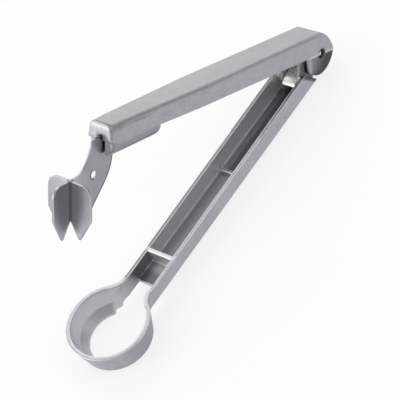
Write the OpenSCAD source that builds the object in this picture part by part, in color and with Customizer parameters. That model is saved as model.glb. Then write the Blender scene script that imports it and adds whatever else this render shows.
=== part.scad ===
// Plum pitter: two die-cast levers on one cross pin, a strip spring in the hinge
// and a folded four-wing blade that swings down through a fruit ring.
// Millimetres, +Z up. The lower lever lies along +X with its ring at the +X end.

/* [Levers] */
// Pin axis to the centre of the fruit ring
reach = 175; // [165:1:185]
// Angle between the levers when the spring has opened them fully
open_angle = 31.4; // [26:0.2:36]
// Width of the lower lever at its top edge
lever_w = 17.6; // [17:0.1:19]
// Height of the pin axis over the table
lever_depth = 12.6; // [12:0.1:14]
// Width of the upper lever at its lower edge
handle_w = 18.4; // [18:0.1:19.5]
// Height of the upper lever over the pin axis
handle_h = 10.5; // [10.2:0.1:12]
// Radius of the round hinge end
knuckle_r = 11.2; // [10.8:0.1:11.8]

/* [Ring] */
// Outside diameter of the ring at its rim
ring_d = 40.2; // [39:0.2:43]
// Height of the rim over the lever's top edge
rim_rise = 2; // [1.2:0.1:3]
// Wall of the ring at its rim
ring_wall = 2.2; // [1.8:0.1:2.6]
// Hole through the foot of the ring
ring_hole_d = 27.2; // [26.8:0.2:28.4]

/* [Blade] */
// Sheet thickness of both folded blades
sheet_t = 1; // [0.8:0.05:1.2]
// Reach of the two side wings from the spine
wing_r = 12; // [10.5:0.1:12.3]
// Reach of the front wing from the spine
front_wing_r = 11; // [10:0.1:11.8]
// Hole punched in the blade arm
arm_hole_d = 3.6; // [2.5:0.1:5]

/* [Hinge] */
// Diameter of the hinge pin
pin_d = 3.2; // [2.6:0.1:3.8]
// Radial play of the pin in the lower lever
pin_play = 0.05; // [0.02:0.01:0.1]
// Thickness of the spring strip
strip_t = 0.6; // [0.4:0.05:0.8]
// Width of the spring strip
strip_w = 7.4; // [5:0.1:7.8]
// Diameter of the pins that hold the blade
tang_pin_d = 3; // [2:0.1:3.4]

/* [Hidden] */
$fn = 96;

// Frame: the pin axis sits at hinge_x and lever_depth in the part's own frame.
rim_r = ring_d / 2;
ring_x = reach + 0.7;
back_r = sqrt(pow(knuckle_r + 5.6, 2) + 36) - 0.15;
rear = back_r - 5.6 * cos(open_angle) - 6 * sin(open_angle);
hinge_x = -(ring_x + rim_r - rear) / 2;

// Lower lever
half_l = lever_w / 2;
wall_l = 2;
floor_t = 2;
tilt_l = 0.95;
end_d = knuckle_r + 1.45;
end_a = 37.4;
ear_in = 4.3;
ear_out = 6.1;
ear_r = 6.2;
heel_r = knuckle_r - 0.6;
stop_x = reach - 42;
slot_x = reach - 27.8;
foot_r = rim_r - 2.5;
foot_round = 2.6;
lip_z = 3.2 - lever_depth;
flare_r = 10;
flare_cx = ring_x - sqrt(pow(rim_r + flare_r, 2) - pow(half_l + flare_r, 2));
flare_tx = ring_x - (ring_x - flare_cx) * rim_r / (rim_r + flare_r);
flare_ty = (half_l + flare_r) * rim_r / (rim_r + flare_r);
seat_r = rim_r - ring_wall;
ring_lean = (rim_r - foot_r) / (rim_rise - foot_round + lever_depth);
seat_lean = 1.3 / (rim_rise - 6.2 + lever_depth);

// Upper lever
half_u = handle_w / 2;
nose_x = reach - 18;
nose_half = half_u - 1.8;
tilt_u = 1;
bay_half = half_u - 2.7;
roof_t = 2.2;
nose_top = handle_h - nose_x * tan(tilt_u);
boss_half = nose_half - 0.1;
boss_z = -6.9;
boss_x0 = nose_x - 31.6;
boss_x1 = nose_x - 1.6;
boss_tilt = 0.9;
taper_x = reach - 57;
fit_play = 0.02;
tang_slot = sheet_t + 0.1;
tang_pin_x = [boss_x0 + 9, boss_x0 + 23];
tang_pin_z = 0.6;
tang_pin_len = 13;
tang_pin_y = 0.4 - nose_half;

// Blade
bend_r = 0.25;
leg_r = bend_r + sheet_t / 2;
fold_shift = 0.3 * sheet_t + 0.1;
wing_top = -12;
wing_low = -27;
tip_z = -37.3;
tip_r = 5.3;
notch_z = -30;

// Spring
coil_r = pin_d / 2 + 0.5 + strip_t / 2;

// Places a part of the lower lever, whose own origin is the pin axis.
module on_lower()
{
    translate([hinge_x, 0, lever_depth])
    children();
}

// Places a part of the upper lever, swung open about the pin axis.
module on_upper()
{
    translate([hinge_x, 0, lever_depth])
    rotate([0, -open_angle, 0])
    children();
}

// Extrudes a side view, drawn with x forward and y up, across the width w.
module across(w)
{
    translate([0, w / 2, 0])
    rotate([90, 0, 0])
    linear_extrude(height = w)
    children();
}

// Extrudes a cross-section, drawn with x to the side and y up, from x0 to x1.
module along(x0, x1)
{
    translate([x0, 0, 0])
    rotate([90, 0, 90])
    linear_extrude(height = x1 - x0)
    children();
}

// Trough section with leaning sides and round lower corners.
module trough(half, low, depth, r, top)
{
    polygon([[-half - 0.04 * top, top], [half + 0.04 * top, top], [low, r - depth], [-low, r - depth]]);
    translate([-low + r, -depth])
    square([2 * low - 2 * r, r + 0.01]);
    translate([low - r, r - depth])
    circle(r = r);
    translate([r - low, r - depth])
    circle(r = r);
}

// Side view of the trough, which is shallower from the knee to the ring.
module trough_side()
{
    polygon([
        [0, 6], [reach - 16, 6], [reach - 16, lip_z], [reach - 44, lip_z], [reach - 48.5, lip_z - 1.4],
        [reach - 70, -lever_depth], [0, -lever_depth]
    ]);
}

// Side view of the top edge, which climbs from the trough to the rim.
module lower_side()
{
    polygon([
        [0, 0], [reach - 25, 0], [reach - 14, rim_rise], [ring_x + rim_r + 1, rim_rise],
        [ring_x + rim_r + 1, -lever_depth], [0, -lever_depth]
    ]);
}

// Plan of one side between the lever and the ring, out to where the sweep meets the ring.
module flare_plan()
{
    polygon([[flare_cx, 0], [flare_cx, half_l], [flare_tx, flare_ty], [ring_x, 0]]);
}

// Cone about the sweep's axis that widens downwards, with the radius r at the height z.
module flare_cone(r, z, lean)
{
    low = -lever_depth - 4;
    high = rim_rise + 4;
    translate([flare_cx, half_l + flare_r, low])
    cylinder(r1 = r + (z - low) * lean, r2 = r + (z - high) * lean, h = high - low);
}

// Wall that sweeps from the lever out to the ring, leaning as the ring does.
module flare_body()
{
    difference()
    {
        translate([0, 0, lip_z])
        linear_extrude(height = rim_rise - lip_z)
        flare_plan();
        flare_cone(flare_r, rim_rise, ring_lean);
    }
}

// Space inside one sweeping wall, leaning as the ring's seat does.
module flare_space()
{
    difference()
    {
        translate([0, 0, -lever_depth - 2])
        linear_extrude(height = lever_depth + 4)
        flare_plan();
        flare_cone(flare_r + ring_wall, rim_rise - 0.6, seat_lean);
    }
}

// Ring with leaning sides and a rounded foot.
module ring_body()
{
    translate([ring_x, 0, 0])
    rotate_extrude()
    intersection()
    {
        union()
        {
            polygon([
                [0, rim_rise], [rim_r, rim_rise],
                [foot_r, foot_round - lever_depth], [0, foot_round - lever_depth]
            ]);
            translate([0, -lever_depth])
            square([foot_r - foot_round, foot_round + 0.01]);
            translate([foot_r - foot_round, foot_round - lever_depth])
            circle(r = foot_round);
        }
        translate([0, -lever_depth - 1])
        square([rim_r + 1, lever_depth + 10]);
    }
}

// Space inside the ring: a tapered seat over the hole for the stone.
module ring_seat()
{
    hole_r = ring_hole_d / 2;
    translate([ring_x, 0, 0])
    rotate_extrude()
    polygon([
        [0, -lever_depth - 1], [hole_r, -lever_depth - 1], [hole_r, 1.2 - lever_depth],
        [seat_r - 1.3, 5.6 - lever_depth], [seat_r, rim_rise - 0.6],
        [seat_r + 0.3, rim_rise + 0.3], [0, rim_rise + 0.3]
    ]);
}

// Place along x, at the height z, of the line that the trough's rear end is cut to.
function end_x(z) = (end_d + 0.4 + z * sin(end_a)) / cos(end_a);

// Side view of one hinge ear: eye, heel for the opening stop, and root in the trough.
module ear_side()
{
    heel_a = 180 + open_angle + 1;
    circle(r = ear_r);
    intersection()
    {
        circle(r = heel_r);
        polygon([
            [0, 0], 20 * [cos(heel_a), sin(heel_a)], [-10, -20], [14, -20], [14, 0]
        ]);
    }
    polygon([[0, ear_r], [13.6, ear_r], [19.2, -4], [19.2, -10.6], [knuckle_r - 1.8, -10.6], [0, -4]]);
}

// Lower lever: open trough, ring, two hinge ears, cross ribs and the spring seat.
module lower_lever()
{
    color("Silver")
    on_lower()
    difference()
    {
        union()
        {
            difference()
            {
                intersection()
                {
                    union()
                    {
                        intersection()
                        {
                            rotate([0, -tilt_l, 0])
                            along(0, reach)
                            trough(half_l, half_l - 0.5, lever_depth, 3, 6);
                            across(40)
                            trough_side();
                        }
                        ring_body();
                        flare_body();
                        mirror([0, 1, 0])
                        flare_body();
                    }
                    across(3 * rim_r)
                    lower_side();
                }
                rotate([0, -tilt_l, 0])
                along(-2, stop_x)
                trough(half_l - wall_l, half_l - wall_l - 0.3, lever_depth - floor_t, 1.5, 8);
                translate([0, 0, 5.4 - lever_depth])
                along(stop_x + 2, reach)
                trough(half_l - wall_l, half_l - wall_l - 0.2, 0, 1, 20);
                translate([slot_x, wall_l - half_l, -20])
                cube([reach - slot_x, lever_w - 2 * wall_l, 40]);
                flare_space();
                mirror([0, 1, 0])
                flare_space();
                ring_seat();
                across(60)
                rotate(-end_a)
                translate([end_d - 60, -40])
                square([60, 80]);
            }
            for (s = [-1, 1])
            translate([0, s * (ear_in + ear_out) / 2, 0])
            across(ear_out - ear_in)
            ear_side();
            for (s = [-1, 1])
            translate([0, s * (ear_out + half_l - wall_l) / 2, 0])
            across(half_l - wall_l - ear_out + 0.8)
            polygon([[end_x(-0.3), -0.3], [19.4, -1.6], [19.4, -10], [end_x(-10), -10]]);
            across(2 * ear_in + 0.4)
            polygon([[10.5, -1.25 - coil_r], [16, -1.25 - coil_r], [17.4, -10.6], [10.5, -10.6]]);
            translate([stop_x - 57, wall_l - half_l - 0.1, 2.8 - lever_depth])
            cube([1.8, lever_w - 2 * wall_l + 0.2, 2.6]);
            translate([stop_x, wall_l - half_l - 0.4, 4 - lever_depth])
            cube([2.2, lever_w - 2 * wall_l + 0.8, lever_depth - 4.4]);
        }
        rotate([90, 0, 0])
        cylinder(d = pin_d + 2 * pin_play, h = 40, center = true);
    }
}

// Section of the handle: leaning sides and round upper corners.
module cap_section(half, h, r, lean)
{
    edge = half - (h - r) * tan(lean);
    polygon([[-half - 4 * tan(lean), -4], [half + 4 * tan(lean), -4], [edge, h - r], [-edge, h - r]]);
    translate([r - edge, h - r - 0.01])
    square([2 * edge - 2 * r, r + 0.01]);
    translate([edge - r, h - r])
    circle(r = r);
    translate([r - edge, h - r])
    circle(r = r);
}

// Section that trims one side of the nose, with the same round corner.
module nose_section(half, h, r, lean)
{
    edge = half - (h - r) * tan(lean);
    polygon([[-40, -4], [half + 4 * tan(lean), -4], [edge, h - r], [-40, h - r]]);
    translate([-40, h - r - 0.01])
    square([40 + edge - r, r + 0.01]);
    translate([edge - r, h - r])
    circle(r = r);
}

// Bar that trims one side of the nose.
module nose_bar()
{
    rotate([0, tilt_u, 0])
    translate([taper_x, 0, 0])
    rotate([0, 0, -2])
    along(-reach - 40, reach)
    nose_section(half_u - 0.5, handle_h + 0.05, 2.4, 8.5);
}

// Plan of the upper lever with round front corners.
module handle_plan(half, nose, x1, r)
{
    polygon([
        [-20, -half], [taper_x, -half], [x1 - r, -nose], [x1 - r, nose], [taper_x, half], [-20, half]
    ]);
    translate([x1 - 2 * r, r - nose])
    square([2 * r, 2 * nose - 2 * r]);
    translate([x1 - r, nose - r])
    circle(r = r);
    translate([x1 - r, r - nose])
    circle(r = r);
}

// Outer form of the upper lever over its lower edge.
module handle_body()
{
    r = 1.4;
    intersection()
    {
        linear_extrude(height = 30)
        handle_plan(half_u, nose_half, nose_x, 1.2);
        across(40)
        union()
        {
            translate([5.6, -6])
            circle(r = back_r);
            translate([5, -1])
            square([nose_x - 5 - r, 20]);
            translate([5, -1])
            square([nose_x - 5, nose_top - r + 1]);
            translate([nose_x - r, nose_top - r])
            circle(r = r);
        }
        rotate([0, tilt_u, 0])
        along(-20, nose_x + 5)
        cap_section(half_u, handle_h, 2.4, 5.5);
        nose_bar();
        mirror([0, 1, 0])
        nose_bar();
    }
}

// Round cheeks of the hinge, set in under the handle's lower edge, with rounded front corners.
module knuckle_body()
{
    r = 3.4;
    front = knuckle_r - 0.1;
    intersection()
    {
        across(40)
        union()
        {
            circle(r = knuckle_r);
            intersection()
            {
                circle(r = knuckle_r + 0.8);
                translate([0, -9.2])
                square([20, 9.2]);
            }
        }
        rotate([0, 16, 0])
        translate([0, 0, -20])
        linear_extrude(height = 30)
        union()
        {
            translate([-25, -half_u])
            square([25 + front - r, 2 * half_u]);
            translate([0, r - half_u])
            square([front, 2 * half_u - 2 * r]);
            for (s = [-1, 1])
            translate([front - r, s * (half_u - r)])
            circle(r = r);
        }
        along(-20, 20)
        polygon([[0.25 - half_u, 0.01], [half_u - 0.25, 0.01], [half_u - 0.5, -12], [0.5 - half_u, -12]]);
    }
}

// Section of the hollow: upright sides and round upper corners.
module bay_section(half, top_half, h, r)
{
    polygon([[-half, 0], [half, 0], [top_half, h - r], [-top_half, h - r]]);
    translate([r - top_half, h - r - 0.01])
    square([2 * top_half - 2 * r, r + 0.01]);
    translate([top_half - r, h - r])
    circle(r = r);
    translate([r - top_half, h - r])
    circle(r = r);
}

// Hollow inside the upper lever, open below.
module handle_bay()
{
    intersection()
    {
        translate([0, 0, -30])
        linear_extrude(height = 60)
        handle_plan(bay_half, nose_half - 2.2, nose_x - 2.6, 1.5);
        across(40)
        union()
        {
            circle(r = knuckle_r - 2.4);
            translate([0, -30])
            square([nose_x, 60]);
            translate([-30, -30])
            square([60, 30]);
        }
        rotate([0, tilt_u, 0])
        translate([0, 0, -40])
        along(-20, nose_x + 5)
        bay_section(bay_half + 0.2, bay_half - 0.1, handle_h + 40 - roof_t, 1.2);
    }
}

// Block under the nose that grips the tang of the blade arm, round below.
module tang_block()
{
    r = 6.2;
    corner = 2.4;
    intersection()
    {
        across(20)
        polygon([
            [boss_x0, 6], [boss_x0, -1.6], [boss_x0 + 1.5, boss_z], [boss_x1, boss_z], [boss_x1, 6]
        ]);
        translate([0, 0, boss_z - 1])
        linear_extrude(height = 20)
        union()
        {
            translate([boss_x0, -boss_half])
            square([boss_x1 - boss_x0 - corner, 2 * boss_half]);
            translate([boss_x0, corner - boss_half])
            square([boss_x1 - boss_x0, 2 * boss_half - 2 * corner]);
            for (s = [-1, 1])
            translate([boss_x1 - corner, s * (boss_half - corner)])
            circle(r = corner);
        }
        translate([boss_x1, 0, 0])
        rotate([0, boss_tilt, 0])
        along(-50, 5)
        union()
        {
            translate([-boss_half - 0.2, boss_z + r])
            square([2 * boss_half + 0.4, 20]);
            translate([r - boss_half - 0.2, boss_z])
            square([2 * boss_half + 0.4 - 2 * r, r + 0.01]);
            for (s = [-1, 1])
            translate([s * (boss_half + 0.2 - r), boss_z + r])
            circle(r = r);
        }
    }
}

// Upper lever: hollow handle, hinge cheeks and the block that grips the blade.
module upper_lever()
{
    color("LightSteelBlue")
    on_upper()
    difference()
    {
        union()
        {
            difference()
            {
                union()
                {
                    handle_body();
                    knuckle_body();
                }
                handle_bay();
            }
            tang_block();
        }
        translate([boss_x0 + 3, -tang_slot / 2, boss_z - 1])
        cube([nose_x - boss_x0 - 5.6, tang_slot, 5 - boss_z + 1]);
        translate([nose_x - 7, -1.1, boss_z - 1])
        cube([20, 2.2, 2.6 - boss_z + 1]);
        rotate([90, 0, 0])
        cylinder(d = pin_d + 2 * fit_play, h = 40, center = true);
        for (s = [-1, 1])
        translate([0, s * half_u, 0])
        rotate([90, 0, 0])
        cylinder(d = pin_d + 1, h = 2.2, center = true);
        for (x = tang_pin_x)
        translate([x, tang_pin_y + tang_pin_len + 0.3, tang_pin_z])
        rotate([90, 0, 0])
        cylinder(d = tang_pin_d + 2 * fit_play, h = 40);
    }
}

// Hinge pin, fixed in the cheeks of the upper lever.
module hinge_pin()
{
    c = 0.3;
    len = handle_w - 2;
    color("Gray")
    on_upper()
    rotate([90, 0, 0])
    translate([0, 0, -len / 2])
    rotate_extrude()
    polygon([
        [0, 0], [pin_d / 2 - c, 0], [pin_d / 2, c], [pin_d / 2, len - c], [pin_d / 2 - c, len], [0, len]
    ]);
}

// One pin that holds the tang, driven in from the far side.
module tang_pin(x)
{
    color("Gray")
    on_upper()
    translate([x, tang_pin_y, tang_pin_z])
    rotate([-90, 0, 0])
    cylinder(d = tang_pin_d, h = tang_pin_len);
}

module tang_pin_front()
{
    tang_pin(tang_pin_x[1]);
}

module tang_pin_rear()
{
    tang_pin(tang_pin_x[0]);
}

// Spring path: lower tip, lower arm, bend round the pin, upper arm, upper tip.
low_seat = [16.5, -0.9 - coil_r];
up_seat = [22, handle_h - roof_t - 22 * sin(tilt_u) - strip_t / 2 - 0.1];
low_a = atan2(low_seat[1], low_seat[0]) + asin(coil_r / norm(low_seat));
up_a = open_angle + atan2(up_seat[1], up_seat[0]) - asin(coil_r / norm(up_seat));
function spin(p, a) = [p[0] * cos(a) - p[1] * sin(a), p[0] * sin(a) + p[1] * cos(a)];
low_dir = [cos(low_a), sin(low_a)];
up_dir = [cos(up_a), sin(up_a)];
low_start = coil_r * [cos(270 + low_a), sin(270 + low_a)];
up_start = coil_r * [cos(90 + up_a), sin(90 + up_a)];
low_end = low_start + sqrt(pow(norm(low_seat), 2) - pow(coil_r, 2)) * low_dir;
up_end = up_start + sqrt(pow(norm(up_seat), 2) - pow(coil_r, 2)) * up_dir;
path = concat(
    [low_end + 2.9 * spin([1, 0], -21) + 1.8 * spin([1, 0], -34), low_end + 2.9 * spin([1, 0], -21)],
    [low_end],
    [for (a = [270 + low_a : -(180 + low_a - up_a) / 24 : 90 + up_a - 0.001]) coil_r * [cos(a), sin(a)]],
    [up_end, up_end + 3 * spin([1, 0], up_a - 14)]
);
last = len(path) - 1;
function unit(v) = v / norm(v);
function left(i) = let (d = unit(path[min(i + 1, last)] - path[max(i - 1, 0)])) [-d[1], d[0]];
spring_gap = min([
    for (i = [0 : last]) for (j = [0 : last]) if (abs(i - j) > 12) norm(path[i] - path[j])
]) - strip_t;
echo(least_spring_gap = spring_gap);

// Return spring: one strip bent round the pin, pressing the levers apart.
module return_spring()
{
    color("Gainsboro")
    on_lower()
    across(strip_w)
    polygon(concat(
        [for (i = [0 : last]) path[i] + left(i) * strip_t / 2],
        [for (i = [last : -1 : 0]) path[i] - left(i) * strip_t / 2]
    ));
}

// Outline of one wing beyond its bend, drawn with x outward and y up.
module wing(r_out, r_corner)
{
    polygon([
        [leg_r - 0.01, wing_top], [r_out - r_corner, wing_top], [r_out - r_corner, wing_top - r_corner],
        [r_out, wing_top - r_corner], [r_out, wing_low], [tip_r + 0.4, tip_z], [tip_r - 0.4, tip_z],
        [leg_r - 0.01, notch_z - 0.4]
    ]);
    translate([r_out - r_corner, wing_top - r_corner])
    intersection()
    {
        circle(r = r_corner);
        square(r_corner);
    }
}

// Quarter bend of a sheet about the spine, between two upright wings.
module bend()
{
    translate([leg_r, leg_r, notch_z - 0.2])
    rotate([0, 0, 180])
    rotate_extrude(angle = 90)
    translate([bend_r, 0])
    square([sheet_t, wing_top - notch_z + 0.2]);
}

// Stands a wing outline up along x at the sheet's mid plane.
module stand()
{
    translate([0, sheet_t / 2, 0])
    rotate([90, 0, 0])
    linear_extrude(height = sheet_t)
    children();
}

// Smooth curve through four points, n steps on the middle span.
function curve(a, b, c, d, n) = [for (i = [0 : n - 1]) let (t = i / n) 0.5 * (2 * b + (c - a) * t
    + (2 * a - 5 * b + 4 * c - d) * t * t + (3 * b - a - 3 * c + d) * t * t * t)];

// Outline of the blade arm from its tang to the spine, in the upper lever's side view.
arm_front = [
    [-20, 2.1], [-16.4, 2.1], [-14.3, 1.7], [-12.9, 0.3], [-12.1, -2.2], [-10.4, -6],
    [-8.2, -9.3], [-5.2, -11.2], [-leg_r - 1, -12], [3, -12.2]
];
arm_rear = [
    [-1, -46], [-5.7, tip_z], [-12.5, -29.9], [-17, -24.6], [-21.8, -18.8],
    [-24.6, -14], [-26, -8.7], [-27, -4.5]
];
function smooth(p) = [for (i = [0 : len(p) - 4]) each curve(p[i], p[i + 1], p[i + 2], p[i + 3], 6)];
module arm_outline()
{
    difference()
    {
        translate([reach, 0])
        polygon(concat(
            [[boss_x0 + 3.4 - reach, 4.8], [-21.5, 4.8], [-21, 2.1]],
            smooth(arm_front),
            [[0.01 - leg_r, wing_top], [0.01 - leg_r, notch_z - 0.4], [0.4 - tip_r, tip_z]],
            smooth(arm_rear),
            [[-26.5, -6.5], [-27.2, -5.2], [boss_x0 + 3.4 - reach, -5.2]]
        ));
        translate([reach - 14.2, -14.2])
        circle(d = arm_hole_d);
        for (x = tang_pin_x)
        translate([x, tang_pin_z])
        circle(d = tang_pin_d + 2 * fit_play);
    }
}

// Blade arm: one sheet with tang, arm and rear wing, folded at the spine into the far wing.
module blade_arm()
{
    color("DimGray")
    on_upper()
    union()
    {
        stand()
        arm_outline();
        translate([reach, 0, 0])
        rotate([0, 0, 180])
        bend();
        translate([reach, 0, 0])
        rotate([0, 0, -90])
        stand()
        wing(wing_r, 5);
    }
}

// Cross blade: one folded sheet with the front wing and the near wing.
module cross_blade()
{
    color("DarkGray")
    on_upper()
    translate([reach + fold_shift, fold_shift, 0])
    union()
    {
        stand()
        wing(front_wing_r - fold_shift, 5);
        bend();
        rotate([0, 0, 90])
        stand()
        wing(wing_r - fold_shift, 5);
    }
}

// Weld bead that joins both folds at the top of the spine.
module spine_weld()
{
    color("LightGray")
    on_upper()
    translate([reach + fold_shift / 2, fold_shift / 2, wing_top + 0.02])
    cylinder(d1 = 2.2, d2 = 1.4, h = 0.6);
}

lower_lever();
upper_lever();
hinge_pin();
return_spring();
blade_arm();
cross_blade();
spine_weld();
tang_pin_front();
tang_pin_rear();
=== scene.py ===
"""Looks of a hand-held plum pitter: two cast levers, a strip spring and a folded cross blade.

Sizes in the classes are millimetres. The lever frame has its origin on the hinge pin's axis,
x towards the fruit ring, y to the side that faces the camera and z up.
"""

import logging
import math
from collections.abc import Iterator
from contextlib import contextmanager
from dataclasses import dataclass
from enum import Enum

import bmesh
import bpy
import numpy as np
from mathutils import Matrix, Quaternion, Vector


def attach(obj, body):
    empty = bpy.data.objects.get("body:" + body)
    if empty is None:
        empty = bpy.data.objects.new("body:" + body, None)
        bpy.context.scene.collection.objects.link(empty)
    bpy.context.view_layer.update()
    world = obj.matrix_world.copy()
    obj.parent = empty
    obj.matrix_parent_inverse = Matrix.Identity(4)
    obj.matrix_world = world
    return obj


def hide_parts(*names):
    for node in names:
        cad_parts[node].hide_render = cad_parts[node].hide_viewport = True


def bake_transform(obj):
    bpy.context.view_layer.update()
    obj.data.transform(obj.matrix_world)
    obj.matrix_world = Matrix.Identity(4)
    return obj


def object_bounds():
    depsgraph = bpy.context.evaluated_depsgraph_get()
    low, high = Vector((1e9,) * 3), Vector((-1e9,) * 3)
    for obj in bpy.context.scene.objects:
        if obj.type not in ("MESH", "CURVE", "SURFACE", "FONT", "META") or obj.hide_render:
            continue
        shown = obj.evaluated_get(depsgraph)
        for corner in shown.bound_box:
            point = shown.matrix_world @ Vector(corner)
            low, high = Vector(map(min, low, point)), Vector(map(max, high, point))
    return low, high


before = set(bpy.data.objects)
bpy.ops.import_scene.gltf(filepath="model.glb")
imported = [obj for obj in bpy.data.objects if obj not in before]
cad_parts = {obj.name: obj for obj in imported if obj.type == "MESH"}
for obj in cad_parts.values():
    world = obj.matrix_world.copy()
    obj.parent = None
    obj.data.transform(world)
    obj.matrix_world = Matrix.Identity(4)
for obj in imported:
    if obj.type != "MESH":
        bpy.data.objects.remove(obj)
CAD_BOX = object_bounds()

LOG = logging.getLogger("pitter")
MM = 0.001

Colour = tuple[float, float, float]
Pair = tuple[float, float]
Array = np.ndarray
Mesh = bpy.types.Mesh
Socket = bpy.types.NodeSocket

WHITE: Colour = (1.0, 1.0, 1.0)
EVEN: Colour = (1.0, 1.0, 1.0)
# The range that a noise's values mostly fill.
NOISE_RANGE: Pair = (0.3, 0.7)
# Round a point of a sharp edge, the mean of the faces' unit normals is shorter than this.
SHARP_MEAN = 0.95
# Points nearer than this, in metres, are one point.
CAD_GAP = 0.002 * MM
GRID_GAP = 1e-7
# Places of the amount, both colours and the result among the sockets of a mix of colours.
MIX_AMOUNT, MIX_BASE, MIX_TOP, MIX_RESULT = 0, 6, 7, 2


class Body(Enum):
    """The two rigid bodies that the hinge joins."""

    LOWER = "lower"
    UPPER = "upper"


class Slot(Enum):
    """The record's material slots."""

    LOWER_CASTING = "cast_lower"
    UPPER_CASTING = "cast_upper"
    PIN = "pin_steel"
    SPRING = "spring_steel"
    BLADE = "blade_steel"
    WELD = "weld_steel"


class Mark(Enum):
    """Numbers that a mesh keeps on its points, most of them for its finish."""

    # Pale cover: wear and cut edges, painted highlights, and painted fill light near the blade's fold.
    EDGE = "edge"
    # Paler, less metallic base: painted fill light inside the trough, the hollow and on the block's front.
    INSIDE = "inside"
    # Dark cover: painted shade in joints, recesses, creases and under parts.
    PAINTED_SHADE = "painted_shade"
    # Dark cover on the blade: painted shade in the fold and along the arm's rear edge.
    SPINE = "spine"
    # Dark cover on the pins: painted shade round each end, inside its sink.
    RIM_SHADE = "rim_shade"
    TURN = "turn"


class Ray(Enum):
    """Kinds of ray that the floor and the room tell apart."""

    CAMERA = "Is Camera Ray"
    GLOSSY = "Is Glossy Ray"
    TRANSMISSION = "Is Transmission Ray"


class Joining(Enum):
    """Ways to make one value of two in a tree of nodes."""

    TOTAL = "ADD"
    LARGER = "MAXIMUM"
    SMALLER = "MINIMUM"


@dataclass(frozen=True)
class Hinge:
    """Place of the pin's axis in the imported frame, and the opening of the levers."""

    x: float = -93.00833
    z: float = 12.6
    open_deg: float = 31.4

    @property
    def middle(self) -> Array:
        """The pin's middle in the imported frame."""
        return np.array([self.x, 0.0, self.z])

    def swing(self, rows: Array, body: Body, way: float) -> Array:
        """Turns rows of x, y, z about the pin's axis by the opening.

        Args:
            rows: places measured from the pin's middle, or directions.
            body: the lever that carries them; only the upper one turns.
            way: 1 to swing the lever open, and -1 to swing it back.

        Returns:
            The turned rows.
        """
        if body is Body.LOWER:
            return rows
        angle = way * math.radians(self.open_deg)
        c, s = math.cos(angle), math.sin(angle)
        x, y, z = np.moveaxis(rows, -1, 0)
        return np.stack([x * c - z * s, y, x * s + z * c], axis=-1)

    def to_packed(self, points: Array, body: Body) -> Array:
        """Moves a lever's points, in millimetres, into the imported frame, in metres."""
        return (self.swing(np.asarray(points, float), body, 1.0) + self.middle) * MM

    def from_packed(self, points: Array, body: Body) -> Array:
        """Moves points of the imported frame, in metres, into a lever's frame, in millimetres."""
        return self.swing(np.asarray(points, float) / MM - self.middle, body, -1.0)


HINGE = Hinge()


@dataclass(frozen=True)
class Layer:
    """One layer of noise in a finish: its scale, its detail and its share of the tone."""

    scale: float
    detail: float
    share: float


class Tree:
    """A tree of shader nodes, with short calls for the nodes that the finishes and the room use."""

    def __init__(self, owner: bpy.types.Material | bpy.types.World) -> None:
        """Empties the owner's tree."""
        owner.use_nodes = True
        self.tree = owner.node_tree
        self.tree.nodes.clear()

    def add(self, kind: str, **settings: object) -> bpy.types.Node:
        """Adds a node.

        Args:
            kind: Blender's name of the node.
            settings: the node's own properties.

        Returns:
            The new node.
        """
        node = self.tree.nodes.new(kind)
        for key, value in settings.items():
            setattr(node, key, value)
        return node

    def join(self, source: Socket, target: Socket) -> None:
        """Links an output to an input."""
        self.tree.links.new(source, target)

    def spread(self, value: Socket, low: float, high: float, to_low: float, to_high: float) -> Socket:
        """Maps a value from one range to another, held at the ends.

        Args:
            value: the value to map.
            low: lower end of its range.
            high: upper end of its range.
            to_low: result at the lower end.
            to_high: result at the upper end.

        Returns:
            The result.
        """
        node = self.add("ShaderNodeMapRange", clamp=True)
        ends = {"From Min": low, "From Max": high, "To Min": to_low, "To Max": to_high}
        for key, number in ends.items():
            node.inputs[key].default_value = number
        self.join(value, node.inputs["Value"])
        return node.outputs["Result"]

    def combine(self, way: Joining, first: Socket, second: Socket) -> Socket:
        """Makes one value of two.

        Args:
            way: how the two are joined.
            first: one value.
            second: the other value.

        Returns:
            The result.
        """
        node = self.add("ShaderNodeMath", operation=way.value)
        self.join(first, node.inputs[0])
        self.join(second, node.inputs[1])
        return node.outputs["Value"]

    def ramp(self, value: Socket, low: Colour, high: Colour) -> Socket:
        """Makes a colour between two.

        Args:
            value: place between the two, from 0 to 1.
            low: colour at 0.
            high: colour at 1.

        Returns:
            The colour.
        """
        node = self.add("ShaderNodeValToRGB")
        node.color_ramp.elements[0].color = (*low, 1.0)
        node.color_ramp.elements[1].color = (*high, 1.0)
        self.join(value, node.inputs["Fac"])
        return node.outputs["Color"]

    def seen(self, *rays: Ray) -> Socket:
        """Tells rays apart.

        Args:
            rays: the kinds to pick out.

        Returns:
            1 for a ray of these kinds, and 0 for any other.
        """
        path = self.add("ShaderNodeLightPath")
        picked = path.outputs[rays[0].value]
        for ray in rays[1:]:
            picked = self.combine(Joining.LARGER, picked, path.outputs[ray.value])
        return picked

    def between(self, amount: Socket, low: Socket, high: Socket) -> Socket:
        """Mixes two shaders.

        Args:
            amount: place between the two, from 0 to 1.
            low: shader at 0.
            high: shader at 1.

        Returns:
            The mixed shader.
        """
        node = self.add("ShaderNodeMixShader")
        for source, target in zip((amount, low, high), node.inputs):
            self.join(source, target)
        return node.outputs["Shader"]


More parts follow.
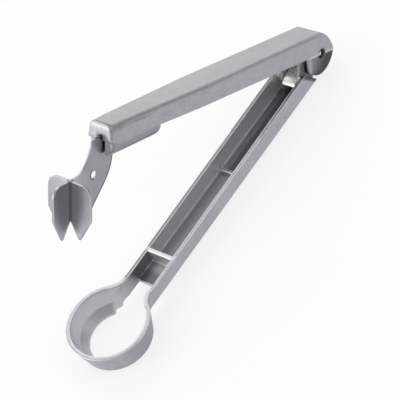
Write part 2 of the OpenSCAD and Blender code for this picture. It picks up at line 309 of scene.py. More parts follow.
class Shader(Tree):
    """Node tree of one material."""

    def __init__(self, name: str) -> None:
        """Starts a tree that holds a principled shader and its output."""
        self.material = bpy.data.materials.new(name)
        super().__init__(self.material)
        self.surface = self.add("ShaderNodeBsdfPrincipled")
        self.out = self.add("ShaderNodeOutputMaterial")
        self.join(self.surface.outputs["BSDF"], self.out.inputs["Surface"])

    def set(self, **values: object) -> None:
        """Sets constants on the principled shader; underscores stand for spaces."""
        for key, value in values.items():
            self.surface.inputs[key.replace("_", " ")].default_value = value

    def feed(self, key: str, value: Socket) -> None:
        """Links a value to an input of the principled shader."""
        self.join(value, self.surface.inputs[key])

    def place(self, scale: Colour, turn: Colour = (0.0, 0.0, 0.0)) -> Socket:
        """Object coordinates in millimetres, turned and then stretched.

        Args:
            scale: how many steps a millimetre has along each axis.
            turn: turn about x, y and z in degrees, made before the stretch.

        Returns:
            The coordinates.
        """
        origin = self.add("ShaderNodeTexCoord")
        turned = self.add("ShaderNodeMapping", vector_type="POINT")
        turned.inputs["Rotation"].default_value = [math.radians(a) for a in turn]
        stretched = self.add("ShaderNodeMapping", vector_type="POINT")
        stretched.inputs["Scale"].default_value = [s / MM for s in scale]
        self.join(origin.outputs["Object"], turned.inputs["Vector"])
        self.join(turned.outputs["Vector"], stretched.inputs["Vector"])
        return stretched.outputs["Vector"]

    def noise(self, place: Socket, layer: Layer) -> Socket:
        """Makes a layer's noise.

        Args:
            place: the coordinates that it is laid out on.
            layer: its scale and detail.

        Returns:
            A value from 0 to 1.
        """
        node = self.add("ShaderNodeTexNoise")
        node.inputs["Scale"].default_value = layer.scale
        node.inputs["Detail"].default_value = layer.detail
        self.join(place, node.inputs["Vector"])
        return node.outputs["Fac"]

    def over_noise(self, noise: Socket, low: float, high: float) -> Socket:
        """A value that goes from low to high with a noise."""
        return self.spread(noise, *NOISE_RANGE, low, high)

    def attribute(self, mark: Mark) -> Socket:
        """A number kept on the mesh's own points."""
        return self.add("ShaderNodeAttribute", attribute_name=mark.value).outputs["Fac"]

    def cover(self, base: Socket, top: Colour, amount: Socket) -> Socket:
        """Lays a plain colour over a changing one.

        Args:
            base: the colour below.
            top: the plain colour.
            amount: how much of it shows, from 0 to 1.

        Returns:
            The mixed colour.
        """
        node = self.add("ShaderNodeMix", data_type="RGBA")
        self.join(amount, node.inputs[MIX_AMOUNT])
        self.join(base, node.inputs[MIX_BASE])
        node.inputs[MIX_TOP].default_value = (*top, 1.0)
        return node.outputs[MIX_RESULT]

    def bump(self, height: Socket, depth: float, strength: float) -> None:
        """Raises the surface's shading.

        Args:
            height: the height, from 0 to 1.
            depth: how many millimetres a height of 1 stands for.
            strength: how much of it the shading takes.
        """
        node = self.add("ShaderNodeBump")
        node.inputs["Strength"].default_value = strength
        node.inputs["Distance"].default_value = depth * MM
        self.join(height, node.inputs["Height"])
        self.feed("Normal", node.outputs["Normal"])


@dataclass(frozen=True)
class CastFinish:
    """Satin die casting: fine grain, a paler and less metallic inside that is painted fill light, a dark
    cover that is painted shade, and bright edges that are partly wear and partly painted highlight.
    """

    name: str
    low: Colour = (0.34, 0.345, 0.38)
    high: Colour = (0.475, 0.48, 0.515)
    # Pale colour of the edges: wear, and painted highlight.
    wear_and_highlight_tone: Colour = (0.82, 0.82, 0.82)
    # Paler, less metallic colour inside: painted fill light.
    painted_fill: Colour = (0.70, 0.695, 0.715)
    # Dark colour of the painted shade.
    painted_shade: Colour = (0.03, 0.03, 0.034)
    rough: Pair = (0.30, 0.44)
    metal: Pair = (0.92, 0.68)
    cloud: Layer = Layer(0.16, 3.0, 0.3)
    speck: Layer = Layer(0.8, 2.0, 0.5)
    grain: Layer = Layer(2.4, 2.0, 0.2)
    depth: float = 0.06
    strength: float = 0.6

    def make(self) -> bpy.types.Material:
        """Builds the material.

        Returns:
            A tone of three noises, covered by the painted fill light inside, the painted shade and the
            edges' wear and painted highlight.
        """
        s = Shader(self.name)
        place = s.place(EVEN)
        cloud, speck, grain = [s.noise(place, layer) for layer in (self.cloud, self.speck, self.grain)]
        fine = s.combine(Joining.TOTAL, s.over_noise(speck, 0.0, self.speck.share),
                         s.over_noise(grain, 0.0, self.grain.share))
        mixed = s.combine(Joining.TOTAL, fine, s.over_noise(cloud, 0.0, self.cloud.share))
        inside = s.attribute(Mark.INSIDE)
        # Paler base inside, with less metal: painted fill light.
        tone = s.cover(s.ramp(mixed, self.low, self.high), self.painted_fill, inside)
        # Dark cover: painted shade.
        tone = s.cover(tone, self.painted_shade, s.attribute(Mark.PAINTED_SHADE))
        # Pale cover on the edges: partly wear, partly painted highlight.
        s.feed("Base Color", s.cover(tone, self.wear_and_highlight_tone, s.attribute(Mark.EDGE)))
        s.feed("Roughness", s.over_noise(grain, *self.rough))
        s.feed("Metallic", s.spread(inside, 0.0, 1.0, *self.metal))
        s.bump(fine, self.depth, self.strength)
        return s.material


@dataclass(frozen=True)
class SheetFinish:
    """Rolled steel sheet with fine lines along the rolling direction, bright cut edges, painted fill light
    near the fold, and painted shade in the fold and along the arm's rear edge.
    """

    name: str
    low: Colour = (0.30, 0.295, 0.33)
    high: Colour = (0.35, 0.345, 0.38)
    # Pale colour: cut edges, and painted fill light near the fold.
    cut: Colour = (0.75, 0.75, 0.75)
    # Dark colour: painted shade in the fold and along the arm's rear edge.
    shade_tone: Colour = (0.05, 0.05, 0.055)
    rough: Pair = (0.30, 0.36)
    lines: Colour = (0.12, 3.0, 3.0)
    streak: Layer = Layer(1.0, 3.0, 0.3)
    cloud: Layer = Layer(0.2, 2.0, 0.7)
    depth: float = 0.003
    strength: float = 0.4

    def make(self) -> bpy.types.Material:
        """Builds the material.

        Returns:
            A tone of rolling lines and clouds, covered by the cut edges and the painted fill light, and by
            the painted shade of the fold and the arm's rear edge.
        """
        s = Shader(self.name)
        streak = s.noise(s.place(self.lines, (0.0, HINGE.open_deg, 0.0)), self.streak)
        cloud = s.noise(s.place(EVEN), self.cloud)
        mixed = s.combine(Joining.TOTAL, s.over_noise(streak, 0.0, self.streak.share),
                          s.over_noise(cloud, 0.0, self.cloud.share))
        tone = s.cover(s.ramp(mixed, self.low, self.high), self.cut, s.attribute(Mark.EDGE))
        # Dark cover: painted shade.
        s.feed("Base Color", s.cover(tone, self.shade_tone, s.attribute(Mark.SPINE)))
        s.feed("Roughness", s.over_noise(streak, *self.rough))
        s.bump(streak, self.depth, self.strength)
        s.set(Metallic=1.0)
        return s.material


@dataclass(frozen=True)
class BrightFinish:
    """Bright steel of pins, spring strip and weld, with fine marks of its making."""

    name: str
    low: Colour
    high: Colour
    rough: Pair = (0.16, 0.30)
    lines: Colour = (0.3, 3.0, 3.0)
    depth: float = 0.006
    metal: float = 1.0
    # Dark colour of the painted shade round a pin's end, inside its sink.
    rim_shade: Colour = (0.03, 0.03, 0.034)
    marks: Layer = Layer(1.0, 3.0, 1.0)
    strength: float = 0.5

    def make(self) -> bpy.types.Material:
        """Builds the material.

        Returns:
            A tone that goes with the marks, covered by the painted shade on a pin end's rim.
        """
        s = Shader(self.name)
        marks = s.noise(s.place(self.lines), self.marks)
        tone = s.ramp(s.over_noise(marks, 0.0, self.marks.share), self.low, self.high)
        s.feed("Base Color", s.cover(tone, self.rim_shade, s.attribute(Mark.RIM_SHADE)))
        s.feed("Roughness", s.over_noise(marks, *self.rough))
        s.bump(marks, self.depth, self.strength)
        s.set(Metallic=self.metal)
        return s.material


def read(rows: bpy.types.bpy_prop_collection, key: str, width: int, kind: type) -> Array:
    """Reads one property of all points, edges, corners or faces of a mesh.

    Args:
        rows: the points, edges, corners or faces.
        key: the property's name.
        width: how many numbers it has.
        kind: the numbers' type.

    Returns:
        One row of numbers for each, or one number where the width is 1.
    """
    out = np.empty(width * len(rows), kind)
    rows.foreach_get(key, out)
    return out.reshape(-1, width) if width > 1 else out


@dataclass
class Skin:
    """Arrays of one mesh: points in metres, point normals and edges."""

    points: Array
    normals: Array
    edges: Array

    @classmethod
    def of(cls, mesh: Mesh) -> "Skin":
        """Reads the arrays of a mesh.

        Args:
            mesh: the mesh to read.

        Returns:
            Its arrays.
        """
        points = read(mesh.vertices, "co", 3, np.float32)
        normals = read(mesh.vertex_normals, "vector", 3, np.float32)
        edges = read(mesh.edges, "vertices", 2, np.int32)
        return cls(points.astype(float), normals.astype(float), edges)

    def mean(self, values: Array) -> Array:
        """Mean of each point's neighbours along the mesh's edges.

        Args:
            values: one row for each point.

        Returns:
            The neighbours' mean, in the same shape.
        """
        count = len(self.points)
        near, far = self.edges[:, 0], self.edges[:, 1]
        share = np.maximum(np.bincount(self.edges.ravel(), minlength=count), 1)
        rows = np.atleast_2d(values.T)
        total = [np.bincount(near, row[far], count) + np.bincount(far, row[near], count) for row in rows]
        return (np.array(total) / share).T.reshape(values.shape)

    def relax(self, values: Array, passes: int) -> Array:
        """Moves values half way to their neighbours' mean, several times over.

        Args:
            values: one row for each point.
            passes: how often they move.

        Returns:
            The values after that.
        """
        for _ in range(passes):
            values = 0.5 * (values + self.mean(values))
        return values

    def line_up(self, mesh: Mesh, passes: int) -> Array:
        """Draws the points of sharp edges into line.

        A point lies on a sharp edge where the mean of the unit normals of the faces round it is
        short. Such points relax towards their neighbours on the same edge. The others stay, and
        so does the end of an edge, which has only one such neighbour.

        Args:
            mesh: the mesh that the arrays come from.
            passes: how often the points relax.

        Returns:
            The points after that.
        """
        count = len(self.points)
        faces = read(mesh.polygon_normals, "vector", 3, np.float32)
        sides = read(mesh.polygons, "loop_total", 1, np.int32)
        corners = read(mesh.loops, "vertex_index", 1, np.int32)
        spread = np.repeat(faces, sides, axis=0)
        total = np.array([np.bincount(corners, column, count) for column in spread.T])
        sharp = np.linalg.norm(total, axis=0) < SHARP_MEAN * np.bincount(corners, minlength=count)
        along = self.edges[sharp[self.edges].all(axis=1)]
        held = np.bincount(along.ravel(), minlength=count) < 2
        moved = Skin(self.points, self.normals, along).relax(self.points, passes)
        return np.where(held[:, None], self.points, moved)


@dataclass(frozen=True)
class Rounding:
    """A box of a lever's frame in which the skin relaxes further, fading in from its faces."""

    body: Body
    x: Pair
    z: Pair
    fade: float
    passes: int

    def share(self, points: Array) -> Array:
        """How far each point lies in the box.

        Args:
            points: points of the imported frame.

        Returns:
            0 at the box's faces and outside, rising to 1 over the fade.
        """
        x, _, z = HINGE.from_packed(points, self.body).T
        depth = np.min([x - self.x[0], self.x[1] - x, z - self.z[0], self.z[1] - z], axis=0)
        return stretch(depth, 0.0, self.fade)


class Piece:
    """One finished piece of the object: its mesh, its marks and its finish."""

    def __init__(self, name: str, mesh: Mesh) -> None:
        """Puts a mesh into the scene under a piece's name."""
        mesh.name = name
        self.thing = bpy.data.objects.new(name, mesh)
        bpy.context.scene.collection.objects.link(self.thing)

    def mark(self, mark: Mark, values: Array) -> None:
        """Keeps one number from 0 to 1 on each point for the finish to read."""
        layer = self.thing.data.attributes.new(mark.value, "FLOAT", "POINT")
        layer.data.foreach_set("value", np.clip(values, 0.0, 1.0).astype(np.float32))

    def dress(self, material: bpy.types.Material, slot: Slot, node: str) -> None:
        """Gives the piece its finish, and hides the CAD node that it stands for.

        Args:
            material: the finish.
            slot: not used.
            node: the CAD node's name.
        """
        self.thing.data.materials.clear()
        self.thing.data.materials.append(material)
        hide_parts(node)
        LOG.info("%s: %d points", self.thing.name, len(self.thing.data.vertices))


def stretch(values: Array, low: float, high: float, start: float = 0.0, end: float = 1.0) -> Array:
    """Maps values from the range low to high onto start to end, held at the ends."""
    return start + (end - start) * np.clip((values - low) / (high - low), 0.0, 1.0)


def line(values: Array, middle: float, width: float) -> Array:
    """A soft line: 1 where the values meet the middle, fading as a bell curve of this width."""
    return np.exp(-((values - middle) / width) ** 2)


def smooth(mesh: Mesh) -> None:
    """Shades all faces of a mesh smooth."""
    mesh.polygons.foreach_set("use_smooth", np.ones(len(mesh.polygons), bool))
    mesh.update()


@contextmanager
def editing(mesh: Mesh) -> Iterator[bmesh.types.BMesh]:
    """Opens a mesh for bmesh's operations and writes the result back.

    Args:
        mesh: the mesh to change.

    Returns:
        The open copy.
    """
    work = bmesh.new()
    work.from_mesh(mesh)
    yield work
    work.to_mesh(mesh)
    work.free()


def modified(mesh: Mesh, kind: str, **settings: object) -> Mesh:
    """A mesh after one of Blender's modifiers.

    Args:
        mesh: the mesh to start from.
        kind: the modifier's type.
        settings: the modifier's own properties.

    Returns:
        A new mesh.
    """
    holder = bpy.data.objects.new("holder", mesh)
    bpy.context.scene.collection.objects.link(holder)
    step = holder.modifiers.new("step", kind)
    for key, value in settings.items():
        setattr(step, key, value)
    graph = bpy.context.evaluated_depsgraph_get()
    made = bpy.data.meshes.new_from_object(holder.evaluated_get(graph))
    bpy.data.objects.remove(holder)
    return made


@dataclass(frozen=True)
class Softened:
    """A CAD solid's skin with rounded edges, as casting or tumbling leaves them.

    The solid is sampled on a fine lattice that keeps its edges. Its points then move towards the
    mean of their neighbours, which rounds an edge and leaves a flat face where it is. At last the
    skin is thinned to the triangles that one piece may have.
    """

    node: str
    pitch: float
    passes: int
    rounder: tuple[Rounding, ...] = ()
    line_passes: int = 10
    most: int = 190000
    fill: float = 0.98
    smallest_part: float = 0.5

    def lattice(self) -> Mesh:
        """Samples the solid.

        Returns:
            A mesh on a lattice of the pitch, with the solid's sharp edges kept.
        """
        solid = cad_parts[self.node]
        source = solid.data.copy()
        with editing(source) as work:
            bmesh.ops.remove_doubles(work, verts=work.verts, dist=CAD_GAP)
        cells = max(solid.dimensions) / (self.pitch * MM)
        depth = math.ceil(math.log2(cells / self.fill))
        return modified(source, "REMESH", mode="SHARP", octree_depth=depth, scale=cells / 2 ** depth,
                        use_remove_disconnected=True, threshold=self.smallest_part)

    def soften(self, mesh: Mesh) -> Skin:
        """Rounds the edges of the sampled mesh.

        Args:
            mesh: the mesh, which is changed.

        Returns:
            The arrays of the rounded skin.
        """
        skin = Skin.of(mesh)
        points = skin.relax(skin.line_up(mesh, self.line_passes), self.passes)
        for spot in self.rounder:
            points = points + spot.share(points)[:, None] * (skin.relax(points, spot.passes) - points)
        mesh.vertices.foreach_set("co", points.astype(np.float32).ravel())
        mesh.update()
        return Skin.of(mesh)

    def thinned(self, mesh: Mesh) -> Mesh:
        """Thins the mesh, and collapses the short edges at which more than two faces meet.

        Args:
            mesh: the mesh of quads to thin.

        Returns:
            A plain shell of no more triangles than a piece may have.
        """
        triangles = 2 * len(mesh.polygons)
        if triangles > self.most:
            mesh = modified(mesh, "DECIMATE", ratio=self.most / triangles)
        with editing(mesh) as work:
            pinched = [edge for edge in work.edges if len(edge.link_faces) > 2]
            bmesh.ops.collapse(work, edges=pinched, uvs=False)
        return mesh

    def build(self, name: str) -> tuple[Piece, Skin, Array]:
        """Makes the piece.

        Args:
            name: the piece's name.

        Returns:
            The piece, the arrays of its skin, and how sharply the skin turns outwards at each
            point: its height over its neighbours' mean, as a share of the lattice pitch.
        """
        mesh = self.lattice()
        skin = self.soften(mesh)
        rise = np.einsum("ij,ij->i", skin.points - skin.mean(skin.points), skin.normals)
        layer = mesh.attributes.new(Mark.TURN.value, "FLOAT", "POINT")
        layer.data.foreach_set("value", (skin.relax(rise, 1) / (self.pitch * MM)).astype(np.float32))
        mesh = self.thinned(mesh)
        layer = mesh.attributes[Mark.TURN.value]
        turn = read(layer.data, "value", 1, np.float32).astype(float)
        mesh.attributes.remove(layer)
        smooth(mesh)
        return Piece(name, mesh), Skin.of(mesh), turn


def surface(name: str, grid: Array, close_u: bool, close_v: bool) -> Piece:
    """Makes a piece from a grid of points.

    Args:
        name: the piece's name.
        grid: points by row u and column v, in metres.
        close_u: whether the last row joins the first.
        close_v: whether the last column joins the first.

    Returns:
        The piece, with quads between neighbouring rows and columns.
    """
    rows, columns = grid.shape[:2]
    steps_u = np.arange(rows if close_u else rows - 1)
    steps_v = np.arange(columns if close_v else columns - 1)
    u, v = [a.ravel() for a in np.meshgrid(steps_u, steps_v, indexing="ij")]
    next_u, next_v = (u + 1) % rows, (v + 1) % columns
    corners = [u * columns + v, next_u * columns + v, next_u * columns + next_v, u * columns + next_v]
    mesh = bpy.data.meshes.new(name)
    mesh.from_pydata(grid.reshape(-1, 3).tolist(), [], np.stack(corners, axis=1).tolist())
    with editing(mesh) as work:
        bmesh.ops.remove_doubles(work, verts=work.verts, dist=GRID_GAP)
        bmesh.ops.recalc_face_normals(work, faces=work.faces)
    smooth(mesh)
    return Piece(name, mesh)


def closing(ring: Array) -> Array:
    """A row of points that closes a ring of the grid at its middle."""
    return ring.mean(1, keepdims=True) + 0.0 * ring


def turned(profile: Array, steps: int) -> Array:
    """A profile of radius and height swept round the y axis.

    Args:
        profile: rows of radius and y.
        steps: points round the axis.

    Returns:
        The grid x = r cos(a), y, z = r sin(a), by angle and profile row.
    """
    a = np.linspace(0.0, 2.0 * np.pi, steps, endpoint=False)[:, None]
    r, y = profile[:, 0][None], profile[:, 1][None]
    return np.stack([r * np.cos(a), y + 0.0 * a, r * np.sin(a)], axis=-1)


@dataclass(frozen=True)
class LowerWearAndHighlights:
    """Bright lines on the lower lever, partly wear and partly painted highlight: strengths, weaker
    stretches and the ranges they fade over.
    """

    turn: Pair = (0.03, 0.1)
    edge: float = 0.85
    side_edge: float = 0.15
    edge_up: Pair = (0.1, 0.6)
    rear_edge: float = 0.1
    edge_x: Pair = (14.0, 18.0)
    far_edge: float = 0.3
    rib: float = 0.95
    rib_rear: Pair = (-1.0, -0.5)
    rib_front: float = 0.5
    foot: float = 0.85
    foot_ahead: float = 0.4
    foot_up: float = 0.2
    foot_wide: float = 0.5


@dataclass(frozen=True)
class LowerShadePaint:
    """Painted shade on the lower lever: strengths, and the ranges that they fade over."""

    wall_end: float = 0.9
    wall_run: Pair = (2.1, 1.4)
    ear: float = 0.75
    lip: float = 0.45
    rear_floor: Pair = (0.76, 0.94)
    rear_floor_y: Pair = (-3.4, -2.0)
    middle_floor: float = 0.74
    front_floor: Pair = (0.52, 0.84)
    front_floor_ahead: Pair = (3.0, 7.0)
    far_top: float = 0.66
    near_top: float = 0.25
    top_before: Pair = (16.0, 24.0)
    front_wall: float = 0.66
    wall_before: Pair = (15.0, 29.0)
    hoop: float = 0.42
    hoop_way: Pair = (-0.79, 0.61)
    hoop_range: Pair = (-0.3, 0.9)
    under: float = 0.45
    under_range: Pair = (0.1, 0.6)


@dataclass
class LowerLever:
    """Cast lower lever: the open trough with the fruit ring at its end.

    The lengths trough_end, neck, flare and hoop_end, the lengths over which the inside's
    painted fill light fades, and those of the painted shade with before in their name, run from
    the ring's middle towards the hinge. What is ahead runs from the stop rib towards the ring.
    """

    inner: float = 6.9
    outer: float = 8.2
    deck: Pair = (-0.6, 0.4)
    floor_z: float = -3.0
    rib_x: float = 77.0
    stop_x: float = 135.0
    stop_low: float = -1.1
    stop_mid: float = -0.9
    stop_half: float = 1.4
    ledge_z: float = -7.2
    ring_x: float = 175.7
    ring_in: float = 18.2
    rim_wide: float = 0.8
    rim_z: float = 1.2
    trough_end: float = 18.0
    neck: float = 24.0
    flare: float = 34.0
    hoop_end: float = 14.0
    hoop_out: float = 8.0
    wall_x: float = 15.9
    wall_slant: float = 37.6
    # Strength of the painted fill light inside, near the ring and away from it, and the lengths over which
    # it changes.
    painted_fill: Pair = (0.45, 1.0)
    painted_fill_before: Pair = (20.0, 38.0)
    rear: Pair = (5.0, 20.0)
    rear_y: float = 6.0
    ear_y: Pair = (5.6, 6.6)
    ear_reach: float = 17.0
    lip_y: Pair = (4.0, 6.4)
    under_y: float = 4.0
    # Bright lines, partly wear and partly painted highlight.
    highlight_and_wear: LowerWearAndHighlights = LowerWearAndHighlights()
    # Painted shade.
    shade_paint: LowerShadePaint = LowerShadePaint()
    skin_form: Softened = Softened(
        "lower_lever", 0.3, 4, (Rounding(Body.LOWER, (155.5, 166.0), (-16.0, -8.0), 1.5, 60),))

    def build(self) -> Piece:
        """Builds and dresses the lever.

        Returns:
            The piece.
        """
        piece, skin, turn = self.skin_form.build("lower_lever_casting")
        p, n = HINGE.from_packed(skin.points, Body.LOWER), skin.normals
        # Painted shade at the hinge, in the trough and on the outside.
        shade_paint = np.max([self.hinge_shade(p, n), self.trough_shade(p, n), self.outer_shade(p, n)], axis=0)
        # Bright lines: wear on the edges, and painted highlights.
        piece.mark(Mark.EDGE, self.wear_and_highlights(p, n, stretch(turn, *self.highlight_and_wear.turn)))
        # Painted fill light inside the trough and the ring's seat.
        piece.mark(Mark.INSIDE, skin.relax(self.inside(p, n), 3))
        piece.mark(Mark.PAINTED_SHADE, skin.relax(shade_paint, 1))
        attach(piece.thing, Body.LOWER.value)
        piece.dress(CastFinish("cast lower lever").make(), Slot.LOWER_CASTING, "lower_lever")
        return piece

    def wall_run(self, p: Array) -> Array:
        """How far points lie in front of the slanted plane that ends the trough's walls."""
        slant = math.radians(self.wall_slant)
        return (p[:, 0] - self.wall_x) * math.cos(slant) - p[:, 2] * math.sin(slant)

    def wear_and_highlights(self, p: Array, n: Array, turn: Array) -> Array:
        """Bright lines on the upper edges, partly wear and partly painted highlight, and painted highlights
        on the front of the stop rib's top and along its foot.

        Args:
            p: points in the lower lever's frame.
            n: their normals.
            turn: how sharply the skin turns outwards at each point.

        Returns:
            The strength of the bright line at each point.
        """
        x, y, z = p.T
        highlight_and_wear = self.highlight_and_wear
        upward = np.maximum(stretch(n[:, 2], *highlight_and_wear.edge_up), highlight_and_wear.side_edge)
        front = np.maximum(stretch(x, *highlight_and_wear.edge_x), highlight_and_wear.rear_edge)
        far_side = np.where((y < -self.outer) & (self.ring_x - x > self.neck), highlight_and_wear.far_edge, 1.0)
        ahead = x - self.stop_x
        within = np.abs(y) < self.inner
        rib = stretch(ahead, *highlight_and_wear.rib_rear) * (ahead < highlight_and_wear.rib_front) * (z > self.stop_low) * within
        foot = line(ahead, highlight_and_wear.foot_ahead, highlight_and_wear.foot_wide) * within
        foot = foot * line(z, self.ledge_z + highlight_and_wear.foot_up, highlight_and_wear.foot_wide)
        edge = turn * upward * front * far_side
        return np.max([highlight_and_wear.edge * edge, highlight_and_wear.rib * rib, highlight_and_wear.foot * foot], axis=0)

    def inside(self, p: Array, n: Array) -> Array:
        """Marks the walls and floor of the trough and the ring's seat, where a paler, less metallic base
        paints fill light into the shade.

        Args:
            p: points in the lower lever's frame.
            n: their normals.

        Returns:
            1 for a point that looks into the trough, less towards the ring, and 0 for the outside.
        """
        x, y, z = p.T
        before = self.ring_x - x
        inward = -n[:, 1] * np.sign(y)
        trough = (np.abs(y) < self.inner) & (inward > -0.3) & (n[:, 2] > -0.5)
        trough &= (z < self.deck[0]) & (before > self.trough_end)
        sweep = (inward > 0.4) & (before < self.flare)
        r = np.hypot(before, y)
        outward = (y * n[:, 1] - before * n[:, 0]) / np.maximum(r, 1e-6)
        seat = (r < self.ring_in) & (outward < 0.2) & (z < self.rim_z) & (n[:, 2] > -0.3)
        seat |= (r < self.ring_in + self.rim_wide) & (outward < -0.5)
        return (trough | sweep | seat) * stretch(before, *self.painted_fill_before, *self.painted_fill)

    def hinge_shade(self, p: Array, n: Array) -> Array:
        """Painted shade at the hinge: on the cut ends of the walls, the ears and the lips before them.

        Args:
            p: points in the lower lever's frame.
            n: their normals.

        Returns:
            The strength of the painted shade at each point.
        """
        x, y, z = p[:, 0], np.abs(p[:, 1]), p[:, 2]
        shade_paint = self.shade_paint
        rear = x < self.rear[1]
        cut = (n[:, 0] < -0.4) & (x > self.rear[0]) & rear & (y > self.rear_y)
        strip = stretch(self.wall_run(p), *shade_paint.wall_run) * (y > self.inner) * rear
        ear = (np.abs(n[:, 1]) > 0.6) & (y > self.ear_y[0]) & (y < self.ear_y[1])
        ear &= np.hypot(x, z) < self.ear_reach
        lip = (n[:, 0] > 0.5) & (y > self.lip_y[0]) & (y < self.lip_y[1]) & rear
        return np.max([shade_paint.wall_end * np.maximum(cut, strip), shade_paint.ear * ear, shade_paint.lip * lip], axis=0)

    def trough_shade(self, p: Array, n: Array) -> Array:
        """Painted shade on the trough's floor, on the tops of its walls and inside the front bay.

        Args:
            p: points in the lower lever's frame.
            n: their normals.

        Returns:
            The strength of the painted shade at each point.
        """
        x, y, z = p.T
        shade_paint = self.shade_paint
        before, ahead = self.ring_x - x, x - self.stop_x
        floor = (n[:, 2] > 0.6) & (np.abs(y) < self.inner) & (z < self.floor_z)
        floor &= before > self.trough_end
        rear_floor = stretch(y, *shade_paint.rear_floor_y, *shade_paint.rear_floor)
        front_floor = stretch(ahead, *shade_paint.front_floor_ahead, *shade_paint.front_floor)
        depth = np.where(ahead < 0.0, shade_paint.middle_floor, front_floor)
        depth = np.where(x < self.rib_x, rear_floor, depth)
        top = (n[:, 2] > 0.9) & (z > self.deck[0]) & (z < self.deck[1])
        top &= np.abs(ahead - self.stop_mid) > self.stop_half
        top = top * np.where(y < 0.0, shade_paint.far_top, shade_paint.near_top) * stretch(before, *shade_paint.top_before)
        wall = (ahead > 0.0) & (z < self.deck[0]) & (-n[:, 1] * np.sign(y) > 0.3)
        wall = shade_paint.front_wall * wall * stretch(before, *shade_paint.wall_before)
        return np.max([floor * depth, top, wall], axis=0)

    def outer_shade(self, p: Array, n: Array) -> Array:
        """Painted shade on the outside: round the ring's near and hinge side, and under the lever.

        Args:
            p: points in the lower lever's frame.
            n: their normals.

        Returns:
            The strength of the painted shade at each point.
        """
        x, y, z = p.T
        shade_paint = self.shade_paint
        before = self.ring_x - x
        outward = y * n[:, 1] - before * n[:, 0]
        hoop = (outward > self.hoop_out) & (before < self.hoop_end) & (z < self.rim_z)
        hoop = hoop * stretch(n[:, :2] @ np.array(shade_paint.hoop_way), *shade_paint.hoop_range)
        under = stretch(-n[:, 2], *shade_paint.under_range) * (np.abs(y) > self.under_y)
        return np.maximum(shade_paint.hoop * hoop, shade_paint.under * under)


@dataclass(frozen=True)
class UpperWearAndHighlights:
    """Painted highlights on the upper lever, with a little wear on its edges: strengths, and the ranges
    that they fade over.
    """

    turn: Pair = (0.0, 0.14)
    edge: float = 0.05
    crease: float = 0.7
    crease_z: float = 0.15
    crease_wide: float = 0.3
    nose: float = 0.6
    nose_facing: float = 0.8
    nose_wide: float = 0.14
    block_facing: Pair = (0.45, 0.85)
    block_foot: Pair = (-6.4, -5.6)
    block_side: float = 0.1
    block_y: Pair = (6.2, 2.6)


@dataclass(frozen=True)
class UpperShadePaint:
    """Painted shade on the upper lever: strengths, and the ranges that they fade over."""

    edge: float = 0.12
    block_edge: float = 0.7
    block: float = 0.26
    block_z: Pair = (0.0, -1.0)
    nose: Pair = (0.25, 0.85)
    nose_y: Pair = (-6.0, 4.0)
    nose_facing: float = 0.94
    nose_wide: float = 0.07
    nose_ahead: float = 0.12
    cheek_z: Pair = (-0.2, -0.7)
    cheek_flat: float = 0.47
    flat_ahead: Pair = (9.6, 8.2)
    cheek_front: float = 0.6
    front_ahead: Pair = (10.0, 11.2)
    cheek_back: float = 0.6
    back_run: Pair = (5.0, -9.0)
    back_slope: float = 0.5
    cheek_rim: float = 0.6
    rim_reach: Pair = (9.2, 10.8)
    deepest: float = 0.95
    sink_fade: float = 0.4


